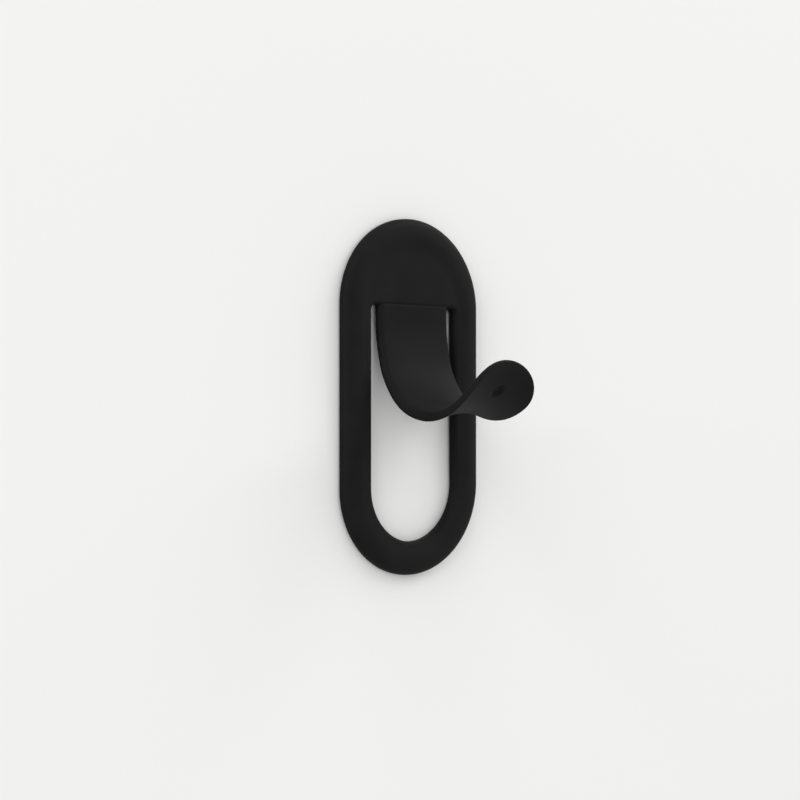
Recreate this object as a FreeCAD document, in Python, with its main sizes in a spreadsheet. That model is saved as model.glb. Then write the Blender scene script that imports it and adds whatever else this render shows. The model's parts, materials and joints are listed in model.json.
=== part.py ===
"""Clip phone holder: a soft oval ring stuck on by a foam pad, with a bendable tongue in its slot.

The ring lies flat on its adhesive face. +Y runs along the ring towards the closed bridge, +Z away
from the surface that it is stuck on, and the origin is under the ring's middle. The tongue starts at
the straight edge of the bridge, runs down the slot and is bent out into a hook with a round tip.
"""
import FreeCAD, Part
import math
import os
import Sketcher

# Driving dimensions in millimetres and degrees: alias, value, meaning
SIZES = [
    ("overall_length", 82.0, "ring length along Y"),
    ("overall_width", 41.0, "ring width along X, also the diameter of its round ends"),
    ("limb_width", 7.7, "width of the ring's two limbs and of its lower end"),
    ("bridge_depth", 20.2, "upper end of the ring to the straight edge of the slot"),
    ("slot_corner", 1.2, "radius of the slot's two upper corners"),
    ("frame_height", 2.8, "height of the moulded ring"),
    ("outer_round", 2.0, "rounding of the ring's outer top edge"),
    ("inner_round", 1.0, "rounding of the slot's top edge"),
    ("dish_rim", 6.0, "raised rim left round the shallow dish in the bridge"),
    ("dish_land", 2.6, "flat left between the dish and the slot's straight edge"),
    ("dish_depth", 0.2, "depth of the dish"),
    ("dish_slope", 65.0, "slope of the dish's wall from the vertical"),
    ("pad_thickness", 0.5, "thickness of the foam adhesive pad"),
    ("pad_inset", 1.0, "pad's step back from the ring's outline"),
    ("tongue_width", 21.2, "width of the tongue, also the diameter of its round tip"),
    ("tongue_thickness", 1.8, "thickness of the tongue"),
    ("root_height", 1.4, "middle of the tongue's root above the ring's underside"),
    ("root_standoff", 0.4, "middle of the tongue's root in front of the bridge's wall"),
    ("root_clearance", 0.25, "room round the tongue's root bead in the bridge's groove"),
    ("root_run", 2.9, "straight run of the tongue below the bridge"),
    ("lead_radius", 26.8, "first, gentle bend away from the adhesive side"),
    ("lead_turn", 19.8, "turn of the first bend"),
    ("corner_radius", 14.3, "second, closer bend outwards"),
    ("corner_turn", 15.9, "turn of the second bend"),
    ("sole_radius", 22.1, "long bend towards the bottom of the hook"),
    ("sole_turn", 18.4, "turn of the long bend"),
    ("curl_radius", 14.1, "last bend, round the bottom of the hook and up to the end of the tip"),
    ("curl_turn", 112.0, "turn of the last bend"),
    ("arch", 1.8, "droop of the tongue's side edges below its middle in the hook"),
    ("dimple_diameter", 3.0, "round dimple in the outer face of the tip"),
    ("dimple_back", 7.0, "middle of the dimple back from the end of the tip"),
    ("dimple_floor", 1.4, "diameter of the dimple's flat floor"),
    ("dimple_depth", 0.7, "depth of the dimple"),
    ("core_width", 7.0, "width of the bendable metal strip inside the tongue"),
    ("core_thickness", 0.6, "thickness of the strip"),
    ("core_clearance", 0.1, "room round the strip in its cavity"),
]

# Values worked out from the driving dimensions: alias, formula, meaning
DERIVED = [
    ("end_radius", "=overall_width / 2", "radius of the ring's round ends"),
    ("end_centre", "=overall_length / 2 - end_radius", "middle of a round end from the origin"),
    ("slot_radius", "=end_radius - limb_width", "half of the slot's width"),
    ("edge_place", "=overall_length / 2 - bridge_depth", "straight edge of the slot from the origin"),
    ("root_place", "=edge_place - root_standoff", "middle of the tongue's root along Y"),
    ("root_level", "=pad_thickness + root_height", "middle of the tongue's root above the pad's face"),
    ("bead_radius", "=tongue_thickness / 2", "radius of the root bead, half the tongue's thickness"),
    ("saddle_radius", "=((tongue_width / 2) ^ 2 + arch ^ 2) / (2 * arch)", "radius of the arch"),
    ("curl_length", "=curl_radius * curl_turn * pi / 180", "length of the last bend"),
]

# The tongue's bends in order: radius and turn
BENDS = [
    ("lead_radius", "lead_turn"),
    ("corner_radius", "corner_turn"),
    ("sole_radius", "sole_turn"),
    ("curl_radius", "curl_turn"),
]
CORE_BENDS = BENDS[:-1]

# Cross-sections of the tongue in order: bend, place back from the bend's far end as a share of the
# bend, and the share of the arch that is grown there
STATIONS = [
    ("lead_radius", 0.5, 0.04),
    ("lead_radius", 0.0, 0.2),
    ("corner_radius", 0.0, 0.5),
    ("sole_radius", 0.0, 0.97),
    ("curl_radius", 0.68, 1.0),
]

# Cross-sections of the round tip in order: distance from its middle as a share of its radius
TIP_STATIONS = [0.0, 0.375, 0.7, 0.88, 0.955, 0.99]

# Numbers that a sketch gives to the points of a line or arc, to its own axes and to its origin
START, END, CENTRE = range(1, 4)
X_AXIS, Y_AXIS = range(-1, -3, -1)
ORIGIN = (X_AXIS, START)


def make_sheet(doc):
    """Spreadsheet with the driving dimensions and what follows from them."""
    sheet = doc.addObject("Spreadsheet::Sheet", "Sizes")
    for row, (alias, content, meaning) in enumerate(SIZES + DERIVED, start=1):
        sheet.set(f"A{row}", meaning)
        sheet.set(f"B{row}", str(content))
        sheet.setAlias(f"B{row}", alias)
    doc.recompute()
    return sheet


def value(sheet, alias):
    """Number in the cell of that alias."""
    return float(getattr(sheet, alias))


def point(x, y):
    """Sketch point."""
    return FreeCAD.Vector(x, y, 0)


def arc(centre_x, centre_y, radius, from_degrees, to_degrees):
    """Counter-clockwise sketch arc."""
    circle = Part.Circle(point(centre_x, centre_y), FreeCAD.Vector(0, 0, 1), radius)
    return Part.ArcOfCircle(circle, math.radians(from_degrees), math.radians(to_degrees))


def line(x1, y1, x2, y2):
    """Sketch line."""
    return Part.LineSegment(point(x1, y1), point(x2, y2))


def sketch_on(body, plane, name):
    """Empty sketch on one of the body's own origin planes."""
    sketch = body.newObject("Sketcher::SketchObject", name)
    support = [item for item in body.Origin.OriginFeatures if item.Role == plane][0]
    sketch.AttachmentSupport = [(support, "")]
    sketch.MapMode = "FlatFace"
    return sketch


def hold(sketch, kind, *where):
    """Geometric constraint."""
    sketch.addConstraint(Sketcher.Constraint(kind, *where))


def dimension(sketch, kind, where, start, rule):
    """Dimension that follows a rule of the sheet, from the value that the geometry starts with."""
    index = sketch.addConstraint(Sketcher.Constraint(kind, *where, start))
    sketch.setExpression(f"Constraints[{index}]", rule)


def tangent_loop(sketch, items):
    """Closed chain of tangent pieces, each running on from the end of the one before."""
    for this, following in zip(items, items[1:] + items[:1]):
        hold(sketch, "Tangent", this, END, following, START)


def closed_chain(sketch, corners):
    """Straight-sided closed outline through the corners; returns its sides in order."""
    sides = [sketch.addGeometry(line(*a, *b)) for a, b in zip(corners, corners[1:] + corners[:1])]
    for this, following in zip(sides, sides[1:] + sides[:1]):
        hold(sketch, "Coincident", this, END, following, START)
    return sides


def oval_outline(sketch, sheet, inset):
    """Outline of the ring: two round ends joined by straight sides, stepped in by the inset."""
    radius = value(sheet, "end_radius") - (value(sheet, inset) if inset else 0)
    centre = value(sheet, "end_centre")
    step = f" - Sizes.{inset}" if inset else ""
    top = sketch.addGeometry(arc(0, centre, radius, 0, 180))
    left = sketch.addGeometry(line(-radius, centre, -radius, -centre))
    low = sketch.addGeometry(arc(0, -centre, radius, 180, 360))
    right = sketch.addGeometry(line(radius, -centre, radius, centre))
    tangent_loop(sketch, [top, left, low, right])
    for end, first, second in ((top, ORIGIN, (top, CENTRE)), (low, (low, CENTRE), ORIGIN)):
        hold(sketch, "PointOnObject", end, CENTRE, Y_AXIS)
        dimension(sketch, "DistanceY", (*first, *second), centre, "Sizes.end_centre")
        dimension(sketch, "Radius", (end,), radius, "Sizes.end_radius" + step)


def slot_outline(sketch, sheet, inset):
    """Outline of the slot: round below, straight above with two small corners, widened by the inset."""
    extra = value(sheet, inset) if inset else 0
    step = f" + Sizes.{inset}" if inset else ""
    radius = value(sheet, "slot_radius") + extra
    corner = value(sheet, "slot_corner") + extra
    edge = value(sheet, "edge_place") + extra
    centre = value(sheet, "end_centre")
    shoulder = radius - corner
    low = sketch.addGeometry(arc(0, -centre, radius, 180, 360))
    right = sketch.addGeometry(line(radius, -centre, radius, edge - corner))
    right_corner = sketch.addGeometry(arc(shoulder, edge - corner, corner, 0, 90))
    top = sketch.addGeometry(line(shoulder, edge, -shoulder, edge))
    left_corner = sketch.addGeometry(arc(-shoulder, edge - corner, corner, 90, 180))
    left = sketch.addGeometry(line(-radius, edge - corner, -radius, -centre))
    tangent_loop(sketch, [low, right, right_corner, top, left_corner, left])
    hold(sketch, "PointOnObject", low, CENTRE, Y_AXIS)
    hold(sketch, "Horizontal", top)
    hold(sketch, "Vertical", left)
    hold(sketch, "Vertical", right)
    dimension(sketch, "DistanceY", (low, CENTRE, *ORIGIN), centre, "Sizes.end_centre")
    dimension(sketch, "Radius", (low,), radius, "Sizes.slot_radius" + step)
    dimension(sketch, "Radius", (right_corner,), corner, "Sizes.slot_corner" + step)
    dimension(sketch, "Radius", (left_corner,), corner, "Sizes.slot_corner" + step)
    dimension(sketch, "DistanceY", (*ORIGIN, top, START), edge, "Sizes.edge_place" + step)


def ring_blank(doc, body, sheet, inset, height_rule):
    """Flat ring with the slot, padded up from the body's own XY plane."""
    outline = sketch_on(body, "XY_Plane", body.Name + "_outline")
    oval_outline(outline, sheet, inset)
    slot_outline(outline, sheet, inset)
    blank = body.newObject("PartDesign::Pad", body.Name + "_blank")
    blank.Profile = outline
    blank.setExpression("Length", height_rule)
    doc.recompute()
    return blank


def top_edges(feature, height, outer):
    """Names of the top face's outer or inner edges."""
    shape = feature.Shape
    flat = [face for face in shape.Faces if math.isclose(face.BoundBox.ZMin, height)]
    names = []
    for face in flat:
        for wire in face.Wires:
            if wire.isSame(face.OuterWire) == outer:
                names += [f"Edge{number}" for number, edge in enumerate(shape.Edges, start=1)
                          if any(edge.isSame(other) for other in wire.Edges)]
    return names


def rounded(doc, body, base, edges, rule, name):
    """Fillet along the named edges."""
    fillet = body.newObject("PartDesign::Fillet", name)
    fillet.Base = (base, edges)
    fillet.setExpression("Radius", rule)
    doc.recompute()
    return fillet


def make_frame(doc, sheet):
    """Moulded ring with the wide bridge, its shallow dish and the groove for the tongue's root."""
    frame = doc.addObject("PartDesign::Body", "frame")
    blank = ring_blank(doc, frame, sheet, None, "Sizes.frame_height")
    height = value(sheet, "frame_height")

    dish = sketch_on(frame, "XY_Plane", "dish_outline")
    dish.setExpression("AttachmentOffset.Base.z", "Sizes.frame_height")
    radius = value(sheet, "end_radius") - value(sheet, "dish_rim")
    centre = value(sheet, "end_centre")
    edge = value(sheet, "edge_place") + value(sheet, "dish_land")
    reach = math.sqrt(radius ** 2 - (edge - centre) ** 2)
    tilt = math.degrees(math.atan2(edge - centre, reach))
    bow = dish.addGeometry(arc(0, centre, radius, tilt, 180 - tilt))
    chord = dish.addGeometry(line(-reach, edge, reach, edge))
    hold(dish, "Coincident", bow, END, chord, START)
    hold(dish, "Coincident", chord, END, bow, START)
    hold(dish, "PointOnObject", bow, CENTRE, Y_AXIS)
    hold(dish, "Horizontal", chord)
    dimension(dish, "DistanceY", (*ORIGIN, bow, CENTRE), centre, "Sizes.end_centre")
    dimension(dish, "Radius", (bow,), radius, "Sizes.end_radius - Sizes.dish_rim")
    dimension(dish, "DistanceY", (*ORIGIN, chord, START), edge, "Sizes.edge_place + Sizes.dish_land")

    outer = rounded(doc, frame, blank, top_edges(blank, height, True), "Sizes.outer_round", "outer_fillet")
    inner = rounded(doc, frame, outer, top_edges(outer, height, False), "Sizes.inner_round", "inner_fillet")

    hollow = frame.newObject("PartDesign::Pocket", "dish")
    hollow.Profile = dish
    hollow.setExpression("Length", "Sizes.dish_depth")
    hollow.setExpression("TaperAngle", "-Sizes.dish_slope")
    doc.recompute()

    bead = sketch_on(frame, "YZ_Plane", "root_circle")
    place = value(sheet, "root_place")
    level = value(sheet, "root_height")
    room = value(sheet, "bead_radius") + value(sheet, "root_clearance")
    ring = bead.addGeometry(Part.Circle(point(place, level), FreeCAD.Vector(0, 0, 1), room))
    dimension(bead, "DistanceX", (*ORIGIN, ring, CENTRE), place, "Sizes.root_place")
    dimension(bead, "DistanceY", (*ORIGIN, ring, CENTRE), level, "Sizes.root_height")
    dimension(bead, "Radius", (ring,), room, "Sizes.bead_radius + Sizes.root_clearance")
    groove = frame.newObject("PartDesign::Pocket", "root_groove")
    groove.Profile = bead
    groove.SideType = "Symmetric"
    groove.setExpression("Length", "Sizes.tongue_width + 2 * Sizes.root_clearance")
    doc.recompute()

    for cut, base in ((hollow, inner), (groove, hollow)):
        if cut.Shape.Volume >= base.Shape.Volume:
            raise RuntimeError(f"{cut.Name} removes nothing")
    frame.setExpression("Placement.Base.z", "Sizes.pad_thickness")
    return frame


def make_pad(doc, sheet):
    """Die-cut foam tape that sticks the ring down, a step smaller than the ring all round."""
    pad = doc.addObject("PartDesign::Body", "adhesive_pad")
    ring_blank(doc, pad, sheet, "pad_inset", "Sizes.pad_thickness")
    return pad


def bent_path(body, sheet, name, bends):
    """Middle line of the tongue from its root: a straight run and then tangent bends."""
    path = sketch_on(body, "YZ_Plane", name)
    run = value(sheet, "root_run")
    before = path.addGeometry(line(0, 0, -run, 0))
    hold(path, "Coincident", before, START, *ORIGIN)
    hold(path, "Horizontal", before)
    dimension(path, "Distance", (before,), run, "Sizes.root_run")
    along, out, heading, leaving = -run, 0.0, 180.0, END
    for radius_name, turn_name in bends:
        radius = value(sheet, radius_name)
        turn = value(sheet, turn_name)
        side = math.radians(heading)
        centre_along = along + radius * math.sin(side)
        centre_out = out - radius * math.cos(side)
        bend = path.addGeometry(arc(centre_along, centre_out, radius, heading + 90 - turn, heading + 90))
        hold(path, "Tangent", before, leaving, bend, END)
        dimension(path, "Radius", (bend,), radius, "Sizes." + radius_name)
        dimension(path, "Angle", (bend,), math.radians(turn), f"Sizes.{turn_name} * 1deg")
        heading -= turn
        along = centre_along - radius * math.sin(math.radians(heading))
        out = centre_out + radius * math.cos(math.radians(heading))
        before, leaving = bend, START
    return path


def rectangle(body, name, wide, wide_rule, thick, thick_rule):
    """Rectangular cross-section about the start of a path."""
    section = sketch_on(body, "XZ_Plane", name)
    half = wide / 2
    skin = thick / 2
    sides = closed_chain(section, [(half, -skin), (half, skin), (-half, skin), (-half, -skin)])
    for number, side in enumerate(sides):
        hold(section, "Horizontal" if number % 2 else "Vertical", side)
    hold(section, "Symmetric", sides[0], START, sides[1], END, *ORIGIN)
    dimension(section, "Distance", (sides[0],), thick, thick_rule)
    dimension(section, "Distance", (sides[1],), wide, wide_rule)
    return section


def strip_section(body, sheet, name, room):
    """Cross-section of the metal strip, or of its cavity with room round it."""
    extra = 2 * value(sheet, "core_clearance") if room else 0
    step = " + 2 * Sizes.core_clearance" if room else ""
    wide = value(sheet, "core_width") + extra
    thick = value(sheet, "core_thickness") + extra
    return rectangle(body, name, wide, "Sizes.core_width" + step, thick, "Sizes.core_thickness" + step)


def root_section(body, sheet):
    """Flat cross-section of the tongue's root."""
    wide = value(sheet, "tongue_width")
    thick = value(sheet, "tongue_thickness")
    return rectangle(body, "root_section", wide, "Sizes.tongue_width", thick, "Sizes.tongue_thickness")


def swept(doc, body, kind, section, path, name):
    """Section carried along the bent path."""
    pipe = body.newObject("PartDesign::" + kind, name)
    pipe.Profile = section
    pipe.Spine = (path, [f"Edge{number}" for number in range(1, path.GeometryCount + 1)])
    doc.recompute()
    return pipe


def across_path(body, path, radius_name, mode, share_rule, name):
    """Sketch set on a bend of the path, that share of the bend back from its far end."""
    bend = [radius for radius, turn in BENDS].index(radius_name)
    sketch = body.newObject("Sketcher::SketchObject", name)
    sketch.AttachmentSupport = [(path, f"Edge{bend + 2}")]
    sketch.MapMode = mode
    sketch.setExpression("MapPathParameter", share_rule)
    return sketch


def arched_section(doc, sketch, reach_rule, bow_rule):
    """Cross-section arched about a point on the outer side, so that its side edges droop that way.

    The sketch's X axis looks to the outer side. Reach is half the section's width, and Bow the
    radius of its arch.
    """
    rules = {"Reach": reach_rule, "Bow": bow_rule, "Skin": "Sizes.bead_radius"}
    for name, rule in rules.items():
        sketch.addProperty("App::PropertyFloat", name)
        sketch.setExpression(name, rule)
    doc.recompute()
    reach, bow, skin = (getattr(sketch, name) for name in rules)
    half = math.degrees(math.asin(reach / bow))
    inner = sketch.addGeometry(arc(bow, 0, bow + skin, 180 - half, 180 + half))
    outer = sketch.addGeometry(arc(bow, 0, bow - skin, 180 - half, 180 + half))
    hold(sketch, "Coincident", inner, CENTRE, outer, CENTRE)
    hold(sketch, "PointOnObject", inner, CENTRE, X_AXIS)
    dimension(sketch, "DistanceX", (*ORIGIN, inner, CENTRE), bow, "Bow")
    for face, radius, rule in ((inner, bow + skin, "(Bow + Skin)"), (outer, bow - skin, "(Bow - Skin)")):
        dimension(sketch, "Radius", (face,), radius, rule)
        dimension(sketch, "DistanceY", (*ORIGIN, face, START), radius * reach / bow, f"{rule} * Reach / Bow")
        dimension(sketch, "DistanceY", (face, END, *ORIGIN), radius * reach / bow, f"{rule} * Reach / Bow")
    for side, end in ((1, START), (-1, END)):
        drop = math.sqrt(1 - (reach / bow) ** 2)
        near = (bow - (bow + skin) * drop, side * (bow + skin) * reach / bow)
        far = (bow - (bow - skin) * drop, side * (bow - skin) * reach / bow)
        edge = sketch.addGeometry(line(*near, *far))
        hold(sketch, "Coincident", inner, end, edge, START)
        hold(sketch, "Coincident", edge, END, outer, end)


def tongue_sections(doc, tongue, path):
    """Cross-sections from the flat root to the end of the round tip, set on the bent path."""
    sections = []
    for number, (bend, share, grown) in enumerate(STATIONS, start=1):
        sketch = across_path(tongue, path, bend, "FrenetNB", str(share), f"section_{number}")
        arched_section(doc, sketch, "Sizes.tongue_width / 2", f"Sizes.saddle_radius / {grown}")
        sections.append(sketch)
    for number, ahead in enumerate(TIP_STATIONS, start=1):
        share = f"(1 - {ahead}) * Sizes.tongue_width / 2 / Sizes.curl_length"
        sketch = across_path(tongue, path, "curl_radius", "FrenetNB", share, f"tip_section_{number}")
        arched_section(doc, sketch, f"Sizes.tongue_width / 2 * sqrt(1 - {ahead} ^ 2)", "Sizes.saddle_radius")
        sections.append(sketch)
    return sections


def turned(doc, body, kind, sketch, axis, degrees, name):
    """Profile turned about one of its sketch's axes, to both sides alike."""
    feature = body.newObject("PartDesign::" + kind, name)
    feature.Profile = sketch
    feature.ReferenceAxis = (sketch, [axis])
    feature.Angle = degrees
    feature.Midplane = True
    doc.recompute()
    return feature


def add_root_bead(doc, tongue, sheet):
    """Round nose at the root, which turns in the bridge's groove."""
    bead = value(sheet, "bead_radius")
    half = value(sheet, "tongue_width") / 2 - bead
    sketch = sketch_on(tongue, "XY_Plane", "root_half_section")
    back, right, nose, left = closed_chain(sketch, [(-half, 0), (half, 0), (half, bead), (-half, bead)])
    hold(sketch, "PointOnObject", back, START, X_AXIS)
    hold(sketch, "PointOnObject", back, END, X_AXIS)
    hold(sketch, "Vertical", right)
    hold(sketch, "Vertical", left)
    hold(sketch, "Horizontal", nose)
    reach = "Sizes.tongue_width / 2 - Sizes.bead_radius"
    dimension(sketch, "DistanceX", (*ORIGIN, back, END), half, reach)
    dimension(sketch, "DistanceX", (back, START, *ORIGIN), half, reach)
    dimension(sketch, "Distance", (right,), bead, "Sizes.bead_radius")
    return turned(doc, tongue, "Revolution", sketch, "H_Axis", 180, "root_bead")


def add_dimple(doc, tongue, sheet, path):
    """Small round dimple with sloping sides in the outer face of the tip."""
    bead = value(sheet, "bead_radius")
    bottom = bead - value(sheet, "dimple_depth")
    rim = value(sheet, "dimple_diameter") / 2
    base = value(sheet, "dimple_floor") / 2
    above = 2 * bead
    place = "Sizes.dimple_back / Sizes.curl_length"
    sketch = across_path(tongue, path, "curl_radius", "FrenetTN", place, "dimple_section")
    corners = [(0, -bottom), (base, -bottom), (rim, -bead), (rim, -above), (0, -above)]
    floor, slope, wall, lid, axis = closed_chain(sketch, corners)
    hold(sketch, "PointOnObject", axis, START, Y_AXIS)
    hold(sketch, "Vertical", axis)
    hold(sketch, "Vertical", wall)
    hold(sketch, "Horizontal", lid)
    hold(sketch, "Horizontal", floor)
    dimension(sketch, "DistanceY", (floor, START, *ORIGIN), bottom, "Sizes.bead_radius - Sizes.dimple_depth")
    dimension(sketch, "DistanceX", (*ORIGIN, floor, END), base, "Sizes.dimple_floor / 2")
    dimension(sketch, "DistanceX", (*ORIGIN, slope, END), rim, "Sizes.dimple_diameter / 2")
    dimension(sketch, "DistanceY", (slope, END, *ORIGIN), bead, "Sizes.bead_radius")
    dimension(sketch, "DistanceY", (wall, END, *ORIGIN), above, "2 * Sizes.bead_radius")
    return turned(doc, tongue, "Groove", sketch, "V_Axis", 360, "dimple")


def make_tongue(doc, sheet):
    """Bent tongue with a bead at its root, a round tip with a dimple, and the cavity of its metal strip."""
    tongue = doc.addObject("PartDesign::Body", "tongue")
    path = bent_path(tongue, sheet, "tongue_path", BENDS)
    root = root_section(tongue, sheet)
    doc.recompute()
    sections = tongue_sections(doc, tongue, path)
    strip = tongue.newObject("PartDesign::AdditiveLoft", "tongue_strip")
    strip.Profile = root
    strip.Sections = [(section, "") for section in sections]
    doc.recompute()
    whole = add_root_bead(doc, tongue, sheet)

    cavity_path = bent_path(tongue, sheet, "cavity_path", CORE_BENDS)
    cavity_section = strip_section(tongue, sheet, "cavity_section", True)
    doc.recompute()
    cavity = swept(doc, tongue, "SubtractivePipe", cavity_section, cavity_path, "strip_cavity")
    mouth = tongue.newObject("PartDesign::Pocket", "cavity_mouth")
    mouth.Profile = cavity_section
    mouth.setExpression("Length", "Sizes.tongue_thickness")
    doc.recompute()
    dimple = add_dimple(doc, tongue, sheet, path)

    if whole.Shape.Volume <= strip.Shape.Volume:
        raise RuntimeError("the root bead adds nothing")
    for cut, base in ((cavity, whole), (mouth, cavity), (dimple, mouth)):
        if cut.Shape.Volume >= base.Shape.Volume:
            raise RuntimeError(f"{cut.Name} removes nothing")
    seat_on_root(tongue)
    return tongue


def make_core(doc, sheet):
    """Soft metal strip inside the tongue, which keeps whatever bend it is given."""
    core = doc.addObject("PartDesign::Body", "core_strip")
    path = bent_path(core, sheet, "core_path", CORE_BENDS)
    section = strip_section(core, sheet, "core_section", False)
    doc.recompute()
    pipe = swept(doc, core, "AdditivePipe", section, path, "core_bent")
    shorter = core.newObject("PartDesign::Pad", "core_root")
    shorter.Profile = section
    shorter.Reversed = True
    shorter.setExpression("Length", "Sizes.bead_radius - Sizes.core_clearance")
    doc.recompute()
    if shorter.Shape.Volume <= pipe.Shape.Volume:
        raise RuntimeError("the strip's root adds nothing")
    seat_on_root(core)
    return core


def seat_on_root(body):
    """Puts a body that is drawn from the tongue's root in its place on the ring."""
    body.setExpression("Placement.Base.y", "Sizes.root_place")
    body.setExpression("Placement.Base.z", "Sizes.root_level")


def main():
    """Builds the holder and writes one file for each of its pieces."""
    doc = FreeCAD.newDocument("clip_phone_holder")
    sheet = make_sheet(doc)
    pieces = [make_frame(doc, sheet), make_pad(doc, sheet), make_tongue(doc, sheet), make_core(doc, sheet)]
    doc.recompute()
    for item in doc.Objects:
        if "Invalid" in item.State or "Error" in item.State:
            raise RuntimeError(f"{item.Name} failed: {item.State}")
    for piece in pieces:
        if piece.Shape.isNull() or not piece.Shape.isValid() or len(piece.Shape.Solids) != 1:
            raise RuntimeError(f"{piece.Label} isn't one valid solid")
    os.makedirs("parts", exist_ok=True)
    for piece in pieces:
        piece.Shape.exportStep(f"parts/{piece.Label}.step")
        box = piece.Shape.BoundBox
        print(f"{piece.Label}: {piece.Shape.Volume:.1f} mm3, X {box.XMin:.2f} {box.XMax:.2f},"
              f" Y {box.YMin:.2f} {box.YMax:.2f}, Z {box.ZMin:.2f} {box.ZMax:.2f}")


main()
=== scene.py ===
"""Clip phone holder: a soft oval ring on a foam pad, with a bendable tongue hooked out of its slot."""
import json
import math

import bmesh
import bpy
from mathutils import Matrix, Vector


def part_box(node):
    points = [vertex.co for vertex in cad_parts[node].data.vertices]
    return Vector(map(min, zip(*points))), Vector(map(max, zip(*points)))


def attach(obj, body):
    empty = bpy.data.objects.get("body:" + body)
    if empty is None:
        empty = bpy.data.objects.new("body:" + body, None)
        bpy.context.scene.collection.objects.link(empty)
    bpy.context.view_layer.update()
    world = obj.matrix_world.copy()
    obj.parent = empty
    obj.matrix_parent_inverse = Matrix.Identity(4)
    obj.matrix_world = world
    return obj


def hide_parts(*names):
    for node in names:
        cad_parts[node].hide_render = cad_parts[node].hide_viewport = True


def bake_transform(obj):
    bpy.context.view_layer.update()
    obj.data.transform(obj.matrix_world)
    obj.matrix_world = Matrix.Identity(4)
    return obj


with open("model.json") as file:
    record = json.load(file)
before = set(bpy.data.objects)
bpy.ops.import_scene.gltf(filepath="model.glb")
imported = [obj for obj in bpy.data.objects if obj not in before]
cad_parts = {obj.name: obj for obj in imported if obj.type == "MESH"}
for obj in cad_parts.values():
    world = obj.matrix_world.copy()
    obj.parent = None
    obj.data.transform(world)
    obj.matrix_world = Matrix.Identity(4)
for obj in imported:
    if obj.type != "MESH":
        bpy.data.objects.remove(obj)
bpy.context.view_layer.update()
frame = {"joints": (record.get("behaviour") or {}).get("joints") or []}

RING_LOW, RING_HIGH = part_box("frame")
PAD_LOW, PAD_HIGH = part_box("adhesive_pad")
CORE_LOW, CORE_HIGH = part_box("core_strip")
ROOT = Vector(frame["joints"][0]["pos_m"])

MM = 0.001
HAIR = 0.01 * MM

bl_info = {
    "name": "Clip Phone Holder",
    "version": (1, 0, 0),
    "blender": (4, 5, 0),
    "location": "3D View > Sidebar > Holder",
    "description": "Builds a stick-on clip phone holder with a bendable tongue",
    "category": "Add Mesh",
}


def length(name, description, millimetres):
    """Length property in metres whose default is given in millimetres."""
    return bpy.props.FloatProperty(
        name=name, description=description, default=millimetres * MM, min=0, precision=5, unit="LENGTH")


def turn(name, description, degrees):
    """Angle property whose default is given in degrees."""
    return bpy.props.FloatProperty(
        name=name, description=description, default=math.radians(degrees), subtype="ANGLE")


def colour(name, description, code):
    """Colour property that holds an sRGB hex value."""
    return bpy.props.StringProperty(name=name, description=description, default=code)


class HolderRingSizes(bpy.types.PropertyGroup):
    """Sizes of the moulded ring and of its foam pad."""
    limb: length("Limb width", "Width of the ring's limbs and of its lower end", 7.7)
    bridge: length("Bridge depth", "Upper end of the ring to the straight edge of the slot", 20.2)
    corner: length("Slot corner", "Radius of the slot's two upper corners", 1.2)
    outer_round: length("Outer rounding", "Rounding of the ring's outer top edge", 2.0)
    inner_round: length("Slot rounding", "Rounding of the slot's top edge", 0.9)
    foot_round: length("Foot rounding", "Small rounding of the ring's lower edges", 0.18)
    crown: length("Crown", "How far the middle of a limb stands above its edges and the bridge's web", 0.4)
    pad_inset: length("Pad inset", "Step of the foam pad back from the ring's outline", 1.0)
    pad_round: length("Pad edge", "Slight rounding of the foam's cut edges", 0.07)


class HolderTongueSizes(bpy.types.PropertyGroup):
    """Sizes and bends of the tongue and of the metal strip inside it."""
    width: length("Tongue width", "Width of the tongue, also the diameter of its round tip", 21.2)
    thickness: length("Tongue thickness", "Thickness of the tongue", 1.8)
    soft_edge: length("Soft edge", "Wide rounding of the edges of the tongue's inner face", 1.35)
    crisp_edge: length("Crisp edge", "Small rounding of the edges of the tongue's outer face", 0.4)
    give: length("Root give", "Length on each side of the bend line over which the root bends", 2.0)
    buried: length("Buried root", "Length of the tongue's root inside the bridge", 1.6)
    run: length("Root run", "Straight run of the tongue below the bridge", 2.9)
    lead_radius: length("Lead radius", "First, gentle bend away from the adhesive side", 26.8)
    lead_turn: turn("Lead turn", "Turn of the first bend", 19.8)
    corner_radius: length("Corner radius", "Second, closer bend outwards", 14.3)
    corner_turn: turn("Corner turn", "Turn of the second bend", 15.9)
    sole_radius: length("Sole radius", "Long bend towards the bottom of the hook", 22.1)
    sole_turn: turn("Sole turn", "Turn of the long bend", 18.4)
    curl_radius: length("Curl radius", "Last bend, round the hook's bottom to the end of the tip", 14.1)
    curl_turn: turn("Curl turn", "Turn of the last bend", 112.0)
    length: length("Tongue length", "Length of the tongue from its root to the end of its tip", 50.8)
    arch: length("Arch", "How far the tongue's side edges droop below its middle in the hook", 1.54)
    arch_start: length("Arch start", "Length along the tongue where the arch begins", 7.1)
    arch_rise: length("Arch rise", "Length along the tongue over which the arch grows", 18.0)
    dimple_place: length("Dimple place", "Middle of the dimple from the end of the tip", 7.0)
    dimple: length("Dimple diameter", "Round dimple in the outer face of the tip", 3.0)
    dimple_depth: length("Dimple depth", "Depth of the dimple", 0.7)
    strip_thickness: length("Strip thickness", "Thickness of the metal strip", 0.6)
    strip_edge: length("Strip edge", "Broken edge of the metal strip", 0.06)


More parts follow.
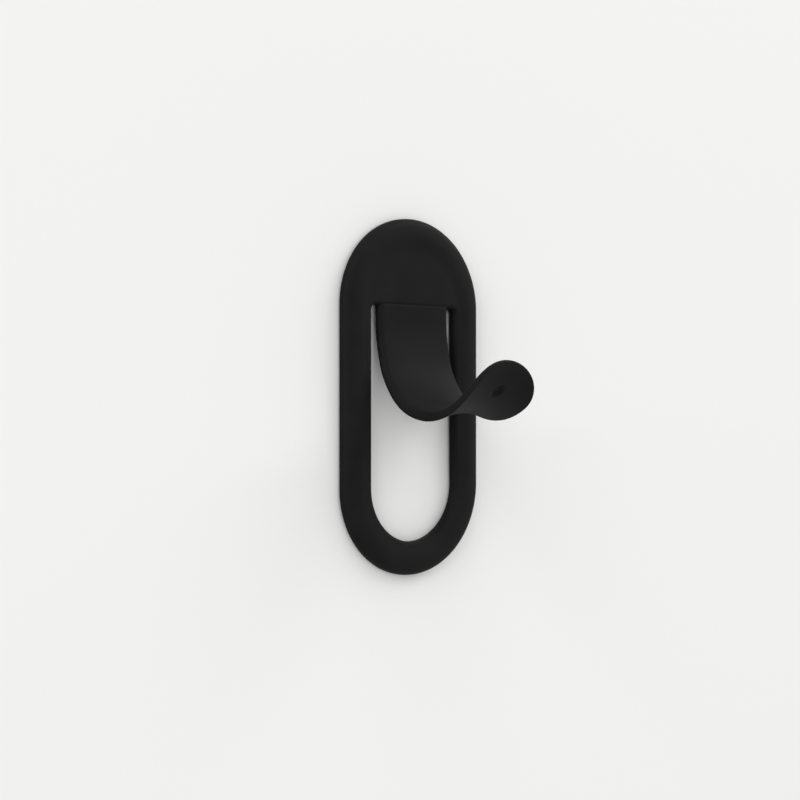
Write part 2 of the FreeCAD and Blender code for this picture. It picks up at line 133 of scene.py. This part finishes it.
class HolderColours(bpy.types.PropertyGroup):
    """Colours of the holder and of its stage, as sRGB hex values."""
    silicone: colour("Silicone", "Moulded black silicone", "#131314")
    silicone_dust: colour("Handled silicone", "Silicone where handling leaves it a shade paler", "#1b1b1c")
    foam: colour("Foam", "Closed-cell foam of the pad", "#19191a")
    foam_cell: colour("Foam cells", "Cut cells of the foam", "#2b2b2c")
    metal: colour("Strip metal", "Soft rolled aluminium", "#c6c8ca")
    metal_line: colour("Rolling lines", "Rolling lines on the aluminium", "#a9abad")
    floor: colour("Floor", "Pale floor", "#f4f4f3")
    floor_bounce: colour("Floor bounce", "Floor as the holder's soft reflected light sees it", "#5a5a5a")


def linear(code):
    """Linear colour of an sRGB hex value."""
    channels = [int(code[place:place + 2], 16) / 255 for place in (1, 3, 5)]
    return [c / 12.92 if c <= 0.04045 else ((c + 0.055) / 1.055) ** 2.4 for c in channels] + [1.0]


def add_node(tree, kind, settings=None, inputs=None, links=None):
    """Adds a shader node with its settings, its socket values and its links from other nodes' outputs."""
    node = tree.nodes.new(kind)
    for name, setting in (settings or {}).items():
        setattr(node, name, setting)
    for name, number in (inputs or {}).items():
        node.inputs[name].default_value = number
    for name, output in (links or {}).items():
        tree.links.new(output, node.inputs[name])
    return node


def new_material(name):
    """Empty node material with its output and object coordinates."""
    material = bpy.data.materials.new(name)
    material.use_nodes = True
    tree = material.node_tree
    tree.nodes.clear()
    output = add_node(tree, "ShaderNodeOutputMaterial")
    place = add_node(tree, "ShaderNodeTexCoord").outputs["Object"]
    return material, tree, output, place


def per_metre(millimetres):
    """Scale of a pattern whose features are that far apart."""
    return 1 / (millimetres * MM)


def moulded_silicone(colours):
    """Black silicone rubber from a fine-blasted mould.

    The eye sees a soft matte black with a faint bloom at grazing angles, an even fine grain, and slow
    changes of sheen where it was handled. The mould's grain is about 0.1 mm, too fine to show, so it is
    drawn at 0.45 mm.
    """
    material, tree, output, place = new_material("moulded_black_silicone")
    grain = add_node(tree, "ShaderNodeTexNoise", inputs={
        "Scale": per_metre(0.45), "Detail": 3.0, "Roughness": 0.6}, links={"Vector": place})
    handled = add_node(tree, "ShaderNodeTexNoise", inputs={
        "Scale": per_metre(9.0), "Detail": 4.0, "Roughness": 0.55}, links={"Vector": place})
    tone = add_node(tree, "ShaderNodeValToRGB", links={"Fac": handled.outputs["Fac"]})
    tone.color_ramp.elements[0].position = 0.35
    tone.color_ramp.elements[0].color = linear(colours.silicone)
    tone.color_ramp.elements[1].position = 0.75
    tone.color_ramp.elements[1].color = linear(colours.silicone_dust)
    sheen = add_node(tree, "ShaderNodeMapRange", inputs={
        "From Min": 0.3, "From Max": 0.7, "To Min": 0.58, "To Max": 0.7},
        links={"Value": handled.outputs["Fac"]})
    relief = add_node(tree, "ShaderNodeBump", inputs={"Strength": 0.16, "Distance": 0.06 * MM},
                      links={"Height": grain.outputs["Fac"]})
    surface = add_node(tree, "ShaderNodeBsdfPrincipled", inputs={
        "IOR": 1.41, "Specular IOR Level": 0.1, "Sheen Weight": 0.01, "Sheen Roughness": 0.5}, links={
        "Base Color": tone.outputs["Color"], "Roughness": sheen.outputs["Result"],
        "Normal": relief.outputs["Normal"]})
    tree.links.new(surface.outputs["BSDF"], output.inputs["Surface"])
    return material


def foam_tape(colours):
    """Closed-cell polyethylene foam, die-cut, with an acrylic adhesive on both faces.

    The eye sees a dull charcoal sheet whose small cut cells speckle it. The cells are about 0.2 mm,
    drawn at 0.4 mm so that they show.
    """
    material, tree, output, place = new_material("die_cut_foam_tape")
    cells = add_node(tree, "ShaderNodeTexVoronoi", inputs={"Scale": per_metre(0.4)},
                     links={"Vector": place})
    blotch = add_node(tree, "ShaderNodeTexNoise", inputs={
        "Scale": per_metre(5.0), "Detail": 3.0}, links={"Vector": place})
    tone = add_node(tree, "ShaderNodeValToRGB", links={"Fac": cells.outputs["Distance"]})
    tone.color_ramp.elements[0].color = linear(colours.foam)
    tone.color_ramp.elements[1].position = 0.8
    tone.color_ramp.elements[1].color = linear(colours.foam_cell)
    dull = add_node(tree, "ShaderNodeMapRange", inputs={
        "From Min": 0.3, "From Max": 0.7, "To Min": 0.62, "To Max": 0.85},
        links={"Value": blotch.outputs["Fac"]})
    relief = add_node(tree, "ShaderNodeBump", inputs={"Strength": 0.4, "Distance": 0.1 * MM},
                      links={"Height": cells.outputs["Distance"]})
    surface = add_node(tree, "ShaderNodeBsdfPrincipled", inputs={"IOR": 1.48}, links={
        "Base Color": tone.outputs["Color"], "Roughness": dull.outputs["Result"],
        "Normal": relief.outputs["Normal"]})
    tree.links.new(surface.outputs["BSDF"], output.inputs["Surface"])
    return material


def rolled_aluminium(colours):
    """Soft annealed aluminium strip, as rolled.

    The eye sees a pale grey metal with fine lines along it from the mill's rollers, 0.3 mm apart.
    """
    material, tree, output, place = new_material("rolled_soft_aluminium")
    stretched = add_node(tree, "ShaderNodeMapping", inputs={"Scale": (1.0, 0.04, 0.04)},
                         links={"Vector": place})
    lines = add_node(tree, "ShaderNodeTexNoise", inputs={"Scale": per_metre(0.3), "Detail": 4.0},
                     links={"Vector": stretched.outputs["Vector"]})
    tone = add_node(tree, "ShaderNodeValToRGB", links={"Fac": lines.outputs["Fac"]})
    tone.color_ramp.elements[0].position = 0.3
    tone.color_ramp.elements[0].color = linear(colours.metal_line)
    tone.color_ramp.elements[1].position = 0.7
    tone.color_ramp.elements[1].color = linear(colours.metal)
    polish = add_node(tree, "ShaderNodeMapRange", inputs={"To Min": 0.28, "To Max": 0.42},
                      links={"Value": lines.outputs["Fac"]})
    relief = add_node(tree, "ShaderNodeBump", inputs={"Strength": 0.1, "Distance": 0.02 * MM},
                      links={"Height": lines.outputs["Fac"]})
    surface = add_node(tree, "ShaderNodeBsdfPrincipled", inputs={"Metallic": 1.0}, links={
        "Base Color": tone.outputs["Color"], "Roughness": polish.outputs["Result"],
        "Normal": relief.outputs["Normal"]})
    tree.links.new(surface.outputs["BSDF"], output.inputs["Surface"])
    return material


def seen_rays(tree):
    """Output that is 1 for rays from the camera, in mirrors and through glass, and 0 for soft light."""
    ray = add_node(tree, "ShaderNodeLightPath").outputs
    seen = ray["Is Camera Ray"]
    for kind in ("Is Glossy Ray", "Is Transmission Ray"):
        both = add_node(tree, "ShaderNodeMath", {"operation": "ADD"})
        tree.links.new(seen, both.inputs[0])
        tree.links.new(ray[kind], both.inputs[1])
        seen = both.outputs["Value"]
    return seen


def painted_floor(colours):
    """Matte white paint on board: pale, even and dull, with a barely visible roller texture.

    It throws back little soft light, so that the holder's lower edges keep their depth.
    """
    material, tree, output, place = new_material("matte_painted_floor")
    paint = add_node(tree, "ShaderNodeValToRGB", links={"Fac": seen_rays(tree)})
    paint.color_ramp.elements[0].color = linear(colours.floor_bounce)
    paint.color_ramp.elements[1].color = linear(colours.floor)
    nap = add_node(tree, "ShaderNodeTexNoise", inputs={"Scale": per_metre(3.0), "Detail": 2.0},
                   links={"Vector": place})
    relief = add_node(tree, "ShaderNodeBump", inputs={"Strength": 0.02, "Distance": 0.1 * MM},
                      links={"Height": nap.outputs["Fac"]})
    surface = add_node(tree, "ShaderNodeBsdfPrincipled", inputs={
        "Roughness": 0.9, "Specular IOR Level": 0.1}, links={
        "Base Color": paint.outputs["Color"], "Normal": relief.outputs["Normal"]})
    tree.links.new(surface.outputs["BSDF"], output.inputs["Surface"])
    return material


def shared_material(name, make, colours):
    """The material of that name, made on first use."""
    return bpy.data.materials.get(name) or make(colours)


def open_edit(piece_name, add, **settings):
    """Adds a primitive as a new object of that name and opens it in edit mode."""
    bpy.ops.object.select_all(action="DESELECT")
    add(**settings)
    piece = bpy.context.object
    piece.name = piece_name
    piece.data.name = piece_name
    bpy.ops.object.mode_set(mode="EDIT")
    return piece


def pick(piece, kind, test):
    """Selects the points, edges or faces of the open mesh that pass the test, and returns their number."""
    bpy.ops.mesh.select_mode(type=kind)
    bpy.ops.mesh.select_all(action="DESELECT")
    mesh = bmesh.from_edit_mesh(piece.data)
    items = {"VERT": mesh.verts, "EDGE": mesh.edges, "FACE": mesh.faces}[kind]
    found = [item for item in items if test(item)]
    for item in found:
        item.select_set(True)
    mesh.select_flush_mode()
    bmesh.update_edit_mesh(piece.data)
    if not found:
        raise RuntimeError(f"{piece.name}: nothing to select")
    return len(found)


def move_points(piece, rule, selected_only=False):
    """Moves the points of the open mesh by a rule of their place."""
    mesh = bmesh.from_edit_mesh(piece.data)
    for vert in mesh.verts:
        if vert.select or not selected_only:
            vert.co = rule(vert.co)
    bmesh.update_edit_mesh(piece.data)


def close_edit(piece, material, sharp_degrees):
    """Merges doubles, turns the faces outwards, leaves edit mode and gives the piece its finish."""
    bpy.ops.mesh.select_mode(type="VERT")
    bpy.ops.mesh.select_all(action="SELECT")
    bpy.ops.mesh.remove_doubles(threshold=HAIR / 2)
    bpy.ops.mesh.normals_make_consistent(inside=False)
    bpy.ops.object.mode_set(mode="OBJECT")
    bpy.ops.object.shade_smooth_by_angle(angle=math.radians(sharp_degrees))
    piece.data.materials.append(material)
    mesh = bmesh.new()
    mesh.from_mesh(piece.data)
    torn = sum(1 for edge in mesh.edges if not edge.is_manifold)
    volume = mesh.calc_volume(signed=True)
    mesh.free()
    if torn or volume <= 0:
        raise RuntimeError(f"{piece.name}: {torn} open edges, volume {volume}")


# Steps of the outlines, of the web between them and of the rounded edges
ROUND_STEPS = 128
SIDE_CUTS = 47
WEB_CUTS = 13
SLOT_SEGMENTS = 6
OUTER_SEGMENTS = 8
FOOT_SEGMENTS = 3
PAD_SEGMENTS = 2

# Share of the slot's upper half circle that goes into each of its two corners
CORNER_SHARE = 1 / 8

# A point this near to the outline lies on it
RIM_SLACK = 0.05 * MM

# Edges sharper than this are shaded as edges
RING_CREASE = 50
TONGUE_CREASE = 60
STRIP_CREASE = 40


class RingPlan:
    """Outlines of the ring or of its pad: the oval outside and the slot inside."""

    def __init__(self, sizes, inset):
        outer = RING_HIGH.x
        self.radius = outer - inset
        self.reach = RING_HIGH.y - outer
        self.slot = outer - sizes.limb + inset
        self.corner = sizes.corner + inset
        self.edge = RING_HIGH.y - sizes.bridge + inset

    def rim_distance(self, spot):
        """Distance of a point from the oval outline, inwards."""
        off = spot.y - max(-self.reach, min(self.reach, spot.y))
        return self.radius - math.hypot(spot.x, off)

    def slot_top(self, spot):
        """Place on the slot's straight edge and corners for a point of a half circle."""
        share = math.atan2(spot.y, spot.x) / math.pi
        shoulder = self.slot - self.corner
        if CORNER_SHARE <= share <= 1 - CORNER_SHARE:
            across = (share - CORNER_SHARE) / (1 - 2 * CORNER_SHARE)
            return Vector((shoulder * (1 - 2 * across), self.edge, spot.z))
        side = 1 if share < 0.5 else -1
        angle = min(share, 1 - share) / CORNER_SHARE * math.pi / 2
        return Vector((side * (shoulder + self.corner * math.cos(angle)),
                       self.edge - self.corner + self.corner * math.sin(angle), spot.z))


def outline_circle(radius):
    """Settings of an open circle round the origin, from which an outline is drawn out."""
    return {"vertices": ROUND_STEPS, "radius": radius, "location": (0, 0, 0), "fill_type": "NOTHING"}


def ring_blank(name, plan, low, high):
    """Flat ring with straight walls: two outlines bridged and extruded upwards.

    Both circles are turned by half a step, so that no point lies on the line where they are parted.
    """
    half_step = math.pi / ROUND_STEPS
    middle = (0, 0, 0)
    piece = open_edit(name, bpy.ops.mesh.primitive_circle_add, **outline_circle(plan.radius))
    bpy.ops.mesh.select_all(action="SELECT")
    bpy.ops.transform.rotate(value=half_step, orient_axis="Z", center_override=middle)
    for side in (1, -1):
        pick(piece, "VERT", lambda vert: side * vert.co.y > 0)
        bpy.ops.transform.translate(value=(0, side * plan.reach, 0))
    bpy.ops.mesh.select_all(action="DESELECT")
    bpy.ops.mesh.primitive_circle_add(**outline_circle(plan.slot))
    bpy.ops.transform.rotate(value=half_step, orient_axis="Z", center_override=middle)
    inside = plan.slot + RIM_SLACK
    pick(piece, "VERT", lambda vert: vert.co.length < inside and vert.co.y < 0)
    bpy.ops.transform.translate(value=(0, -plan.reach, 0))
    pick(piece, "VERT", lambda vert: vert.co.length < inside and vert.co.y > 0)
    move_points(piece, plan.slot_top, selected_only=True)
    pick(piece, "EDGE", lambda edge: edge.calc_length() > plan.reach)
    bpy.ops.mesh.subdivide(number_cuts=SIDE_CUTS)
    bpy.ops.mesh.select_all(action="SELECT")
    bpy.ops.mesh.bridge_edge_loops()
    bpy.ops.mesh.select_all(action="SELECT")
    bpy.ops.transform.translate(value=(0, 0, low))
    bpy.ops.mesh.extrude_region_move(TRANSFORM_OT_translate={"value": (0, 0, high - low)})
    return piece


def round_rim(piece, plan, level, outer, width, segments):
    """Rounds the outer or the slot's edge that lies at that level."""
    def on_rim(edge):
        if any(abs(vert.co.z - level) > HAIR for vert in edge.verts):
            return False
        return all((plan.rim_distance(vert.co) < RIM_SLACK) == outer for vert in edge.verts)
    pick(piece, "EDGE", on_rim)
    bpy.ops.mesh.bevel(offset=width, offset_type="OFFSET", segments=segments, affect="EDGES",
                       clamp_overlap=False, loop_slide=False)


def cut_web(piece, plan, level, shortest):
    """Divides the flat top between the two rounded edges, so that it can be crowned."""
    def crosses(edge):
        first, second = (vert.co for vert in edge.verts)
        flat = abs(first.z - level) < HAIR and abs(second.z - level) < HAIR
        return flat and abs(plan.rim_distance(first) - plan.rim_distance(second)) > shortest
    pick(piece, "EDGE", crosses)
    bpy.ops.mesh.subdivide(number_cuts=WEB_CUTS)


class HOLDER_OT_ring(bpy.types.Operator):
    """Models the soft moulded ring with its crowned limbs and the lower web of its bridge"""
    bl_idname = "holder.ring"
    bl_label = "Moulded Ring"

    def execute(self, context):
        sizes = context.scene.holder_ring
        plan = RingPlan(sizes, 0)
        low, high = RING_LOW.z, RING_HIGH.z
        piece = ring_blank("moulded_ring", plan, low, high)
        # The slot's edge comes before the outer one, while it is the only other loop at its level
        round_rim(piece, plan, high, False, sizes.inner_round, SLOT_SEGMENTS)
        round_rim(piece, plan, high, True, sizes.outer_round, OUTER_SEGMENTS)
        for outer in (False, True):
            round_rim(piece, plan, low, outer, sizes.foot_round, FOOT_SEGMENTS)
        ridge = sizes.limb / 2
        cut_web(piece, plan, high, ridge / 2)

        def crowned(spot):
            across = max(-1, min(1, (plan.rim_distance(spot) - ridge) / ridge))
            drop = sizes.crown * (1 - math.cos(math.pi * across)) / 2
            return spot - Vector((0, 0, drop * (spot.z - low) / (high - low)))
        move_points(piece, crowned)
        silicone = shared_material("moulded_black_silicone", moulded_silicone, context.scene.holder_colours)
        close_edit(piece, silicone, RING_CREASE)
        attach(piece, "base")
        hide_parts("frame")
        return {"FINISHED"}


class HOLDER_OT_foam_pad(bpy.types.Operator):
    """Models the die-cut foam tape under the ring"""
    bl_idname = "holder.foam_pad"
    bl_label = "Foam Pad"

    def execute(self, context):
        sizes = context.scene.holder_ring
        plan = RingPlan(sizes, sizes.pad_inset)
        low, high = PAD_LOW.z, PAD_HIGH.z
        piece = ring_blank("foam_pad", plan, low, high)
        for level in (high, low):
            for outer in (False, True):
                round_rim(piece, plan, level, outer, sizes.pad_round, PAD_SEGMENTS)
        foam = shared_material("die_cut_foam_tape", foam_tape, context.scene.holder_colours)
        close_edit(piece, foam, RING_CREASE)
        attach(piece, "base")
        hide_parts("adhesive_pad")
        return {"FINISHED"}


def bends_of(sizes):
    """The tongue's bends in order: radius and turn."""
    return [
        (sizes.lead_radius, sizes.lead_turn),
        (sizes.corner_radius, sizes.corner_turn),
        (sizes.sole_radius, sizes.sole_turn),
        (sizes.curl_radius, sizes.curl_turn),
    ]


def flat_length(sizes, bends):
    """Length along the flat tongue from its root to the end of those bends."""
    return sizes.run + sum(radius * angle for radius, angle in bends)


def bent(spot, sizes):
    """Place on the bent tongue of a point of the flat one.

    The flat tongue lies along -Y from its root at the origin, and its inner face looks to +Z. Its side
    edges droop more and more towards the hook, which makes a saddle of it there.
    """
    left = -spot.y
    grown = max(0.0, min(1.0, (left - sizes.arch_start) / sizes.arch_rise))
    across = 2 * spot.x / (sizes.width - sizes.thickness)
    droop = sizes.arch * grown * grown * (3 - 2 * grown) * across ** 2
    along, out, heading = min(left, sizes.run), 0.0, 0.0
    left -= sizes.run
    for radius, angle in bends_of(sizes):
        if left <= 0:
            break
        step = min(left / radius, angle)
        along += radius * (math.sin(heading + step) - math.sin(heading))
        out += radius * (math.cos(heading) - math.cos(heading + step))
        heading += step
        left -= radius * angle
    if left > 0:
        along += left * math.cos(heading)
        out += left * math.sin(heading)
    along -= (spot.z - droop) * math.sin(heading)
    out += (spot.z - droop) * math.cos(heading)
    return Vector((spot.x, ROOT.y - along, ROOT.z + out))


# Steps of the tip's circle, of the tongue's sides, of its rounded edges and of its dimple
TIP_STEPS = 96
TONGUE_CUTS = 89
SOFT_SEGMENTS = 9
CRISP_SEGMENTS = 4
DIMPLE_CUTS = 4

# Room kept free of points at the root's corners, as a share of the soft edge
CORNER_ROOM = 1.2


class HOLDER_OT_tongue(bpy.types.Operator):
    """Models the flat tongue with its rounded edges, round tip and dimple, and bends it into its hook"""
    bl_idname = "holder.tongue"
    bl_label = "Bent Tongue"

    def execute(self, context):
        sizes = context.scene.holder_tongue
        half = sizes.width / 2
        skin = sizes.thickness / 2
        tip = sizes.length - half
        piece = open_edit("bent_tongue", bpy.ops.mesh.primitive_circle_add, vertices=TIP_STEPS, radius=half,
                          location=(0, 0, 0), fill_type="NOTHING")
        bpy.ops.mesh.select_all(action="SELECT")
        bpy.ops.transform.rotate(value=math.pi / TIP_STEPS, orient_axis="Z", center_override=(0, 0, 0))

        # The rear half of the circle is drawn out straight to the buried root, the front half is the tip
        root_points = TIP_STEPS // 2 - 1
        pick(piece, "VERT", lambda vert: vert.co.y > 0)

        def drawn_out(spot):
            share = (math.atan2(spot.y, spot.x) / math.pi * (root_points + 1) - 0.5) / root_points
            return Vector((half * (1 - 2 * share), sizes.buried, spot.z))
        move_points(piece, drawn_out, selected_only=True)
        pick(piece, "VERT", lambda vert: vert.co.y < 0)
        bpy.ops.transform.translate(value=(0, -tip, 0))
        pick(piece, "EDGE", lambda edge: edge.calc_length() > half)
        bpy.ops.mesh.subdivide(number_cuts=TONGUE_CUTS)

        # Points that crowd the root's corners go, so that the rounding doesn't fold over itself there
        def crowds_corner(vert):
            away = math.hypot(half - abs(vert.co.x), sizes.buried - vert.co.y)
            return HAIR < away < CORNER_ROOM * sizes.soft_edge
        pick(piece, "VERT", crowds_corner)
        bpy.ops.mesh.dissolve_verts()

        def at_root(edge):
            return all(vert.co.y > sizes.buried - HAIR for vert in edge.verts)
        root_span = pick(piece, "EDGE", at_root)

        # A face is filled in and thickened, and its two rims are rounded
        bpy.ops.mesh.select_all(action="SELECT")
        bpy.ops.mesh.edge_face_add()
        bpy.ops.transform.translate(value=(0, 0, -skin))
        bpy.ops.mesh.extrude_region_move(TRANSFORM_OT_translate={"value": (0, 0, sizes.thickness)})
        rims = ((1, sizes.soft_edge, SOFT_SEGMENTS), (-1, sizes.crisp_edge, CRISP_SEGMENTS))
        for side, rounding, segments in rims:
            def on_side(edge):
                return all(abs(vert.co.z - side * skin) < HAIR for vert in edge.verts)
            pick(piece, "EDGE", on_side)
            bpy.ops.mesh.bevel(offset=rounding, offset_type="OFFSET", segments=segments, affect="EDGES",
                               clamp_overlap=False, loop_slide=False)

        # The two flat faces are filled again as grids, fine enough to bend
        for side in (1, -1):
            pick(piece, "FACE", lambda face: len(face.verts) > TIP_STEPS
                 and abs(face.calc_center_median().z - side * skin) < HAIR)
            bpy.ops.mesh.delete(type="ONLY_FACE")
            pick(piece, "EDGE", lambda edge: edge.is_boundary)
            mesh = bmesh.from_edit_mesh(piece.data)
            rim = [vert for vert in mesh.verts if vert.select]
            mesh.select_history.clear()
            mesh.select_history.add(max(rim, key=lambda vert: side * vert.co.x + vert.co.y))
            bmesh.update_edit_mesh(piece.data)
            bpy.ops.mesh.fill_grid(span=root_span, offset=0, use_interp_simple=True)
        sink_dimple(piece, sizes, skin)
        move_points(piece, lambda spot: bent(spot, sizes))
        silicone = shared_material("moulded_black_silicone", moulded_silicone, context.scene.holder_colours)
        close_edit(piece, silicone, TONGUE_CREASE)
        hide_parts("tongue")
        follow_bend(piece)
        return {"FINISHED"}


def sink_dimple(piece, sizes, skin):
    """Sinks the round dimple into the outer face of the tip, with a soft rim and a flat floor."""
    rim = sizes.dimple / 2
    soft = rim / 4
    centre = Vector((0, sizes.dimple_place - sizes.length))

    def near(face):
        spot = face.calc_center_median()
        return spot.z < -skin + HAIR and (spot.xy - centre).length < 2 * rim
    pick(piece, "FACE", near)
    bpy.ops.mesh.subdivide(number_cuts=DIMPLE_CUTS)

    def sunk(spot):
        away = (spot.xy - centre).length
        if spot.z > -skin + HAIR or away > rim + soft:
            return spot
        share = max(0.0, min(1.0, (rim + soft - away) / (rim - soft)))
        bowl = share * share * (3 - 2 * share)
        return spot + Vector((0, 0, sizes.dimple_depth * bowl))
    move_points(piece, sunk)


def follow_bend(piece):
    """Bakes the piece's placement into its mesh."""
    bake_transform(piece)


STRIP_COLUMNS = 9
STRIP_ROWS = 80
STRIP_SEGMENTS = 2
STRIP_CORNER = math.radians(60)


class HOLDER_OT_metal_strip(bpy.types.Operator):
    """Models the soft metal strip inside the tongue, which keeps its bend"""
    bl_idname = "holder.metal_strip"
    bl_label = "Metal Strip"

    def execute(self, context):
        sizes = context.scene.holder_tongue
        skin = sizes.strip_thickness / 2
        back = CORE_HIGH.y - ROOT.y
        far = flat_length(sizes, bends_of(sizes)[:-1])
        piece = open_edit("metal_strip", bpy.ops.mesh.primitive_grid_add, x_subdivisions=STRIP_COLUMNS,
                          y_subdivisions=STRIP_ROWS, size=1, location=(0, 0, 0))
        bpy.ops.mesh.select_all(action="SELECT")
        bpy.ops.transform.resize(value=(CORE_HIGH.x - CORE_LOW.x, far + back, 1))
        bpy.ops.transform.translate(value=(0, (back - far) / 2, -skin))
        bpy.ops.mesh.extrude_region_move(TRANSFORM_OT_translate={"value": (0, 0, 2 * skin)})
        pick(piece, "EDGE", lambda edge: edge.calc_face_angle(0) > STRIP_CORNER)
        bpy.ops.mesh.bevel(offset=sizes.strip_edge, segments=STRIP_SEGMENTS, affect="EDGES",
                           clamp_overlap=False)
        move_points(piece, lambda spot: bent(spot, sizes))
        aluminium = shared_material("rolled_soft_aluminium", rolled_aluminium, context.scene.holder_colours)
        close_edit(piece, aluminium, STRIP_CREASE)
        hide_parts("core_strip")
        follow_bend(piece)
        return {"FINISHED"}


# Viewing angle and distance of the photograph, worked out in the holder's own frame
CAMERA_TILT = math.radians(41.1)
CAMERA_SPOT = Vector((-0.2191, -0.0007, 0.2487))
CAMERA_LENS = 64.5
SENSOR_WIDTH = 36
NEAREST_SEEN = 0.01
FLOOR_SIZE = 20

# Soft boxes: name, place, size in metres and power in watts. They stand far off, so that the floor is even
SOFT_BOXES = [
    ("upper_box", (-0.6, 3.2, 1.6), 2.2, 16),
    ("left_box", (-3.0, 1.4, 1.0), 2.4, 62),
    ("right_box", (2.6, 2.0, 1.2), 2.4, 45),
]

# The room's strength as light on the holder, and as it is seen
WORLD_LIGHT = 0.68
WORLD_SEEN = 0.88


class HOLDER_OT_stage(bpy.types.Operator):
    """Sets up the pale floor, the soft studio light and the camera"""
    bl_idname = "holder.stage"
    bl_label = "Stage"

    def execute(self, context):
        scene = context.scene
        scene.view_settings.view_transform = "Standard"
        bpy.ops.object.select_all(action="DESELECT")
        bpy.ops.mesh.primitive_plane_add(size=FLOOR_SIZE, location=(0, 0, 0))
        floor = context.object
        floor.name = "pale_floor"
        floor.data.materials.append(painted_floor(scene.holder_colours))

        for name, place, size, power in SOFT_BOXES:
            bpy.ops.object.light_add(type="AREA", location=place)
            box = context.object
            box.name = name
            box.data.shape = "DISK"
            box.data.size = size
            box.data.energy = power
            box.rotation_euler = (-Vector(place)).to_track_quat("-Z", "Y").to_euler()

        world = bpy.data.worlds.new("studio_room")
        scene.world = world
        world.use_nodes = True
        tree = world.node_tree
        tree.nodes.clear()
        level = add_node(tree, "ShaderNodeMapRange", inputs={"To Min": WORLD_LIGHT, "To Max": WORLD_SEEN},
                         links={"Value": seen_rays(tree)})
        room = add_node(tree, "ShaderNodeBackground", inputs={"Color": (1, 1, 1, 1)},
                        links={"Strength": level.outputs["Result"]})
        add_node(tree, "ShaderNodeOutputWorld", links={"Surface": room.outputs["Background"]})

        bpy.ops.object.camera_add(location=CAMERA_SPOT)
        camera = context.object
        camera.name = "viewpoint"
        side, lift = math.sin(CAMERA_TILT), math.cos(CAMERA_TILT)
        turned = Matrix(((lift, 0, -side), (0, 1, 0), (side, 0, lift)))
        camera.rotation_euler = turned.to_euler()
        camera.data.sensor_width = SENSOR_WIDTH
        camera.data.lens = CAMERA_LENS
        camera.data.clip_start = NEAREST_SEEN
        scene.camera = camera
        return {"FINISHED"}


OPERATORS = [
    HOLDER_OT_ring,
    HOLDER_OT_foam_pad,
    HOLDER_OT_tongue,
    HOLDER_OT_metal_strip,
    HOLDER_OT_stage,
]


class HOLDER_PT_panel(bpy.types.Panel):
    """Lists the holder's pieces and their sizes"""
    bl_label = "Clip Phone Holder"
    bl_idname = "HOLDER_PT_panel"
    bl_space_type = "VIEW_3D"
    bl_region_type = "UI"
    bl_category = "Holder"

    def draw(self, context):
        for operator in OPERATORS:
            self.layout.operator(operator.bl_idname)
        for group in (context.scene.holder_ring, context.scene.holder_tongue, context.scene.holder_colours):
            box = self.layout.box()
            for name in group.__annotations__:
                box.prop(group, name)


CLASSES = [HolderRingSizes, HolderTongueSizes, HolderColours, *OPERATORS, HOLDER_PT_panel]


def register():
    for item in CLASSES:
        bpy.utils.register_class(item)
    bpy.types.Scene.holder_ring = bpy.props.PointerProperty(type=HolderRingSizes)
    bpy.types.Scene.holder_tongue = bpy.props.PointerProperty(type=HolderTongueSizes)
    bpy.types.Scene.holder_colours = bpy.props.PointerProperty(type=HolderColours)


def unregister():
    del bpy.types.Scene.holder_colours
    del bpy.types.Scene.holder_tongue
    del bpy.types.Scene.holder_ring
    for item in reversed(CLASSES):
        bpy.utils.unregister_class(item)


def main():
    """Builds the holder and its stage."""
    register()
    bpy.ops.holder.ring()
    bpy.ops.holder.foam_pad()
    bpy.ops.holder.tongue()
    bpy.ops.holder.metal_strip()
    bpy.ops.holder.stage()


if __name__ == "__main__":
    main()
